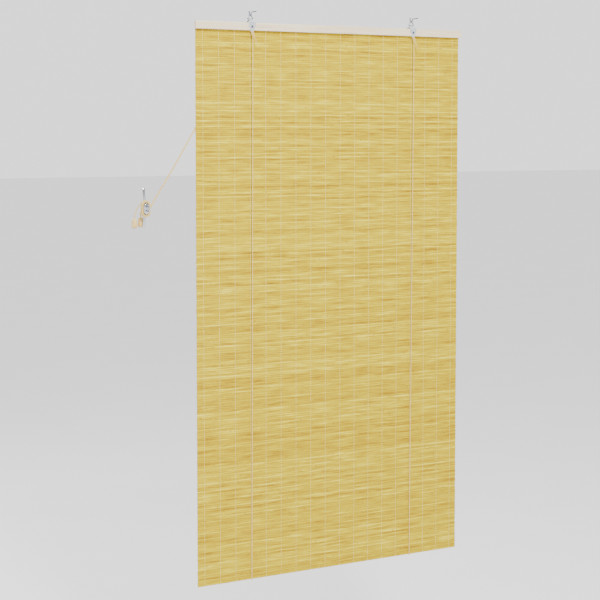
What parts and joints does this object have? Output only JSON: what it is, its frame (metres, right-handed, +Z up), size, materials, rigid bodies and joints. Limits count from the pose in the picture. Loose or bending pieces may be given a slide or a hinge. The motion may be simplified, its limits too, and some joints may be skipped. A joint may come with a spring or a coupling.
{
  "type": "bamboo roll-up blind",
  "caption": "Woven bamboo roll-up window blind on a wooden head rail, with lift cords over pulleys, screw hooks and a wall cleat.",
  "frame": {"origin": "midway between the two points where the bails hang in the screw hooks", "axes": "+Z up, +X along the blind with the cleat on the -X side, +Y into the room, wall on the -Y side"},
  "size_m": [1.0912, 0.0587, 1.6372],
  "materials": {
    "rail_wood": "fine sanded",
    "bamboo": "satin",
    "thread": "matt",
    "cord": "braided, matt",
    "nickel_sheet": "bright nickel",
    "steel_wire": "bright zinc",
    "hook_steel": "bright zinc",
    "cleat_chrome": "polished",
    "pulley_plastic": "satin",
    "pull_wood": "turned, clear lacquer"
  },
  "bodies": {
    "wall_fixings": {"left_screw_hook": "hook_steel", "right_screw_hook": "hook_steel", "cleat": "cleat_chrome", "cleat_screws": "hook_steel", "left_pull_cord": "cord", "right_pull_cord": "cord", "cleat_winding": "cord"},
    "left_bail": {"left_bail": "steel_wire"},
    "right_bail": {"right_bail": "steel_wire"},
    "head": {"head_rail": "rail_wood", "mat_header": "bamboo", "rail_staples": "steel_wire", "left_bracket": "nickel_sheet", "right_bracket": "nickel_sheet", "axle_rivets": "steel_wire", "axle_washers": "steel_wire", "becket_knots": "cord", "left_lift_cord": "cord", "right_lift_cord": "cord", "warp_threads": "thread"},
    "left_pulley": {"left_pulley": "pulley_plastic"},
    "right_pulley": {"right_pulley": "pulley_plastic"},
    "left_pull": {"left_cord_tail": "cord", "left_acorn": "pull_wood"},
    "right_pull": {"right_cord_tail": "cord", "right_acorn": "pull_wood"},
    "mat_band_00": {"mat_band_00": "bamboo"},
    "mat_band_01": {"mat_band_01": "bamboo"},
    "mat_band_02": {"mat_band_02": "bamboo"},
    "mat_band_03": {"mat_band_03": "bamboo"},
    "mat_band_04": {"mat_band_04": "bamboo"},
    "mat_band_05": {"mat_band_05": "bamboo"},
    "mat_band_06": {"mat_band_06": "bamboo"},
    "mat_band_07": {"mat_band_07": "bamboo"},
    "mat_band_08": {"mat_band_08": "bamboo"},
    "mat_band_09": {"mat_band_09": "bamboo"},
    "mat_band_10": {"mat_band_10": "bamboo"},
    "mat_band_11": {"mat_band_11": "bamboo"},
    "mat_band_12": {"mat_band_12": "bamboo"},
    "mat_band_13": {"mat_band_13": "bamboo"},
    "mat_band_14": {"mat_band_14": "bamboo"},
    "mat_band_15": {"mat_band_15": "bamboo"},
    "mat_band_16": {"mat_band_16": "bamboo"},
    "mat_band_17": {"mat_band_17": "bamboo"},
    "mat_band_18": {"mat_band_18": "bamboo"},
    "mat_band_19": {"mat_band_19": "bamboo"},
    "mat_band_20": {"mat_band_20": "bamboo"},
    "mat_band_21": {"mat_band_21": "bamboo"},
    "mat_band_22": {"mat_band_22": "bamboo"},
    "mat_band_23": {"mat_band_23": "bamboo"},
    "mat_band_24": {"mat_band_24": "bamboo"},
    "mat_band_25": {"mat_band_25": "bamboo"},
    "mat_band_26": {"mat_band_26": "bamboo"},
    "mat_band_27": {"mat_band_27": "bamboo"},
    "mat_band_28": {"mat_band_28": "bamboo"},
    "mat_band_29": {"mat_band_29": "bamboo"},
    "mat_band_30": {"mat_band_30": "bamboo"},
    "mat_band_31": {"mat_band_31": "bamboo"}
  },
  "joints": [
    {"name": "left_bail_swing", "type": "hinge", "parent": "wall_fixings", "child": "left_bail", "pos_m": [-0.274, 0, 0], "axis": [-1, 0, 0], "range_deg": [-20, 0.5], "deforming": ["left_pull_cord", "right_pull_cord"]},
    {"name": "right_bail_swing", "type": "hinge", "parent": "wall_fixings", "child": "right_bail", "pos_m": [0.274, 0, 0], "axis": [-1, 0, 0], "range_deg": [-20, 0.5]},
    {"name": "rail_tilt", "type": "hinge", "parent": "left_bail", "child": "head", "pos_m": [-0.274, 0, -0.0125], "axis": [-1, 0, 0], "range_deg": [-12, 0.5]},
    {"name": "left_pulley_spin", "type": "hinge", "parent": "head", "child": "left_pulley", "pos_m": [-0.274, 0.0068, -0.034], "axis": [0, 1, 0], "continuous": true},
    {"name": "right_pulley_spin", "type": "hinge", "parent": "head", "child": "right_pulley", "pos_m": [0.274, 0.0068, -0.034], "axis": [0, 1, 0], "continuous": true},
    {"name": "left_pull_swing", "type": "hinge", "parent": "wall_fixings", "child": "left_pull", "pos_m": [-0.617, -0.0095, -0.526], "axis": [-0.7182, 0.6958, 0], "range_deg": [-3, 25], "deforming": ["left_cord_tail"]},
    {"name": "right_pull_swing", "type": "hinge", "parent": "wall_fixings", "child": "right_pull", "pos_m": [-0.616, -0.0095, -0.552], "axis": [0.2216, 0.9751, 0], "range_deg": [-25, 5], "deforming": ["right_cord_tail"]},
    {"name": "mat_roll_00", "type": "hinge", "parent": "head", "child": "mat_band_00", "pos_m": [0, 0.0003, -0.0445], "axis": [1, 0, 0], "range_deg": [0, 20], "deforming": ["warp_threads", "left_lift_cord", "right_lift_cord"]},
    {"name": "mat_roll_01", "type": "hinge", "parent": "mat_band_00", "child": "mat_band_01", "pos_m": [0, 0.0003, -0.1095], "axis": [1, 0, 0], "range_deg": [0, 30]},
    {"name": "mat_roll_02", "type": "hinge", "parent": "mat_band_01", "child": "mat_band_02", "pos_m": [0, 0.0003, -0.17274], "axis": [1, 0, 0], "range_deg": [0, 60]},
    {"name": "mat_roll_03", "type": "hinge", "parent": "mat_band_02", "child": "mat_band_03", "pos_m": [0, 0.0003, -0.23502], "axis": [1, 0, 0], "range_deg": [0, 60]},
    {"name": "mat_roll_04", "type": "hinge", "parent": "mat_band_03", "child": "mat_band_04", "pos_m": [0, 0.0003, -0.29633], "axis": [1, 0, 0], "range_deg": [0, 60]},
    {"name": "mat_roll_05", "type": "hinge", "parent": "mat_band_04", "child": "mat_band_05", "pos_m": [0, 0.0003, -0.35669], "axis": [1, 0, 0], "range_deg": [0, 60]},
    {"name": "mat_roll_06", "type": "hinge", "parent": "mat_band_05", "child": "mat_band_06", "pos_m": [0, 0.0003, -0.41608], "axis": [1, 0, 0], "range_deg": [0, 60]},
    {"name": "mat_roll_07", "type": "hinge", "parent": "mat_band_06", "child": "mat_band_07", "pos_m": [0, 0.0003, -0.47451], "axis": [1, 0, 0], "range_deg": [0, 60]},
    {"name": "mat_roll_08", "type": "hinge", "parent": "mat_band_07", "child": "mat_band_08", "pos_m": [0, 0.0003, -0.53197], "axis": [1, 0, 0], "range_deg": [0, 60]},
    {"name": "mat_roll_09", "type": "hinge", "parent": "mat_band_08", "child": "mat_band_09", "pos_m": [0, 0.0003, -0.58848], "axis": [1, 0, 0], "range_deg": [0, 60]},
    {"name": "mat_roll_10", "type": "hinge", "parent": "mat_band_09", "child": "mat_band_10", "pos_m": [0, 0.0003, -0.64402], "axis": [1, 0, 0], "range_deg": [0, 60]},
    {"name": "mat_roll_11", "type": "hinge", "parent": "mat_band_10", "child": "mat_band_11", "pos_m": [0, 0.0003, -0.6986], "axis": [1, 0, 0], "range_deg": [0, 60]},
    {"name": "mat_roll_12", "type": "hinge", "parent": "mat_band_11", "child": "mat_band_12", "pos_m": [0, 0.0003, -0.75222], "axis": [1, 0, 0], "range_deg": [0, 60]},
    {"name": "mat_roll_13", "type": "hinge", "parent": "mat_band_12", "child": "mat_band_13", "pos_m": [0, 0.0003, -0.80487], "axis": [1, 0, 0], "range_deg": [0, 60]},
    {"name": "mat_roll_14", "type": "hinge", "parent": "mat_band_13", "child": "mat_band_14", "pos_m": [0, 0.0003, -0.85657], "axis": [1, 0, 0], "range_deg": [0, 60]},
    {"name": "mat_roll_15", "type": "hinge", "parent": "mat_band_14", "child": "mat_band_15", "pos_m": [0, 0.0003, -0.9073], "axis": [1, 0, 0], "range_deg": [0, 60]},
    {"name": "mat_roll_16", "type": "hinge", "parent": "mat_band_15", "child": "mat_band_16", "pos_m": [0, 0.0003, -0.95707], "axis": [1, 0, 0], "range_deg": [0, 60]},
    {"name": "mat_roll_17", "type": "hinge", "parent": "mat_band_16", "child": "mat_band_17", "pos_m": [0, 0.0003, -1.00587], "axis": [1, 0, 0], "range_deg": [0, 60]},
    {"name": "mat_roll_18", "type": "hinge", "parent": "mat_band_17", "child": "mat_band_18", "pos_m": [0, 0.0003, -1.05372], "axis": [1, 0, 0], "range_deg": [0, 60]},
    {"name": "mat_roll_19", "type": "hinge", "parent": "mat_band_18", "child": "mat_band_19", "pos_m": [0, 0.0003, -1.1006], "axis": [1, 0, 0], "range_deg": [0, 60]},
    {"name": "mat_roll_20", "type": "hinge", "parent": "mat_band_19", "child": "mat_band_20", "pos_m": [0, 0.0003, -1.14652], "axis": [1, 0, 0], "range_deg": [0, 60]},
    {"name": "mat_roll_21", "type": "hinge", "parent": "mat_band_20", "child": "mat_band_21", "pos_m": [0, 0.0003, -1.19148], "axis": [1, 0, 0], "range_deg": [0, 60]},
    {"name": "mat_roll_22", "type": "hinge", "parent": "mat_band_21", "child": "mat_band_22", "pos_m": [0, 0.0003, -1.23547], "axis": [1, 0, 0], "range_deg": [0, 60]},
    {"name": "mat_roll_23", "type": "hinge", "parent": "mat_band_22", "child": "mat_band_23", "pos_m": [0, 0.0003, -1.27851], "axis": [1, 0, 0], "range_deg": [0, 60]},
    {"name": "mat_roll_24", "type": "hinge", "parent": "mat_band_23", "child": "mat_band_24", "pos_m": [0, 0.0003, -1.32058], "axis": [1, 0, 0], "range_deg": [0, 60]},
    {"name": "mat_roll_25", "type": "hinge", "parent": "mat_band_24", "child": "mat_band_25", "pos_m": [0, 0.0003, -1.36168], "axis": [1, 0, 0], "range_deg": [0, 60]},
    {"name": "mat_roll_26", "type": "hinge", "parent": "mat_band_25", "child": "mat_band_26", "pos_m": [0, 0.0003, -1.40183], "axis": [1, 0, 0], "range_deg": [0, 60]},
    {"name": "mat_roll_27", "type": "hinge", "parent": "mat_band_26", "child": "mat_band_27", "pos_m": [0, 0.0003, -1.44101], "axis": [1, 0, 0], "range_deg": [0, 60]},
    {"name": "mat_roll_28", "type": "hinge", "parent": "mat_band_27", "child": "mat_band_28", "pos_m": [0, 0.0003, -1.47924], "axis": [1, 0, 0], "range_deg": [0, 60]},
    {"name": "mat_roll_29", "type": "hinge", "parent": "mat_band_28", "child": "mat_band_29", "pos_m": [0, 0.0003, -1.51649], "axis": [1, 0, 0], "range_deg": [0, 60]},
    {"name": "mat_roll_30", "type": "hinge", "parent": "mat_band_29", "child": "mat_band_30", "pos_m": [0, 0.0003, -1.55279], "axis": [1, 0, 0], "range_deg": [0, 60]},
    {"name": "mat_roll_31", "type": "hinge", "parent": "mat_band_30", "child": "mat_band_31", "pos_m": [0, 0.0003, -1.58813], "axis": [1, 0, 0], "range_deg": [0, 60]}
  ],
  "couplings": [
    {"joint": "right_bail_swing", "follows": "left_bail_swing", "ratio": 1}
  ]
}
